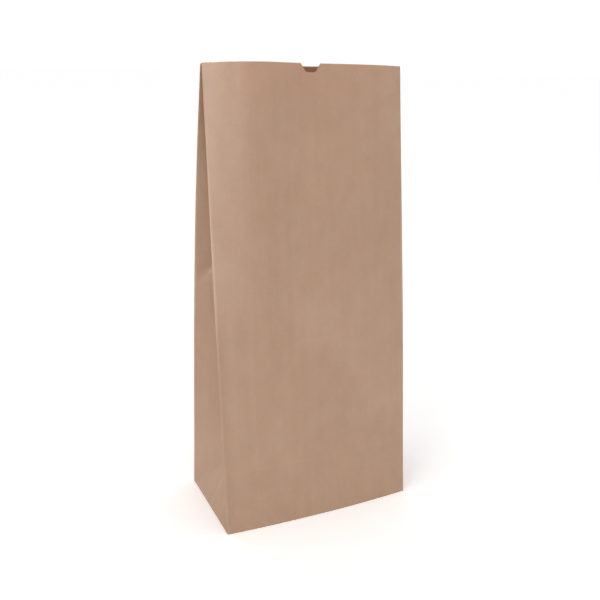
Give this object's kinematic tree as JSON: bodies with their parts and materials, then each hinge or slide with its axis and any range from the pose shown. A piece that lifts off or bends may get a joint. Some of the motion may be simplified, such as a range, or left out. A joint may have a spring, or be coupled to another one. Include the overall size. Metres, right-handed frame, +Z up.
{
  "type": "paper lunch bag",
  "caption": "Brown paper lunch bag with a flat block bottom, folded-in sides, a thumb notch and a toothed, nearly shut mouth.",
  "frame": {"origin": "middle of the underside of the flat bottom", "axes": "+Z up the bag to its mouth, +X along the wide panels, -Y out of the front panel, the one with the thumb notch"},
  "size_m": [0.1502, 0.0843, 0.3295],
  "materials": {
    "kraft_paper": "plain brown kraft paper, matt, with faint streaks along the bag"
  },
  "bodies": {
    "root": {"paper_bag": "kraft_paper"}
  },
  "joints": []
}
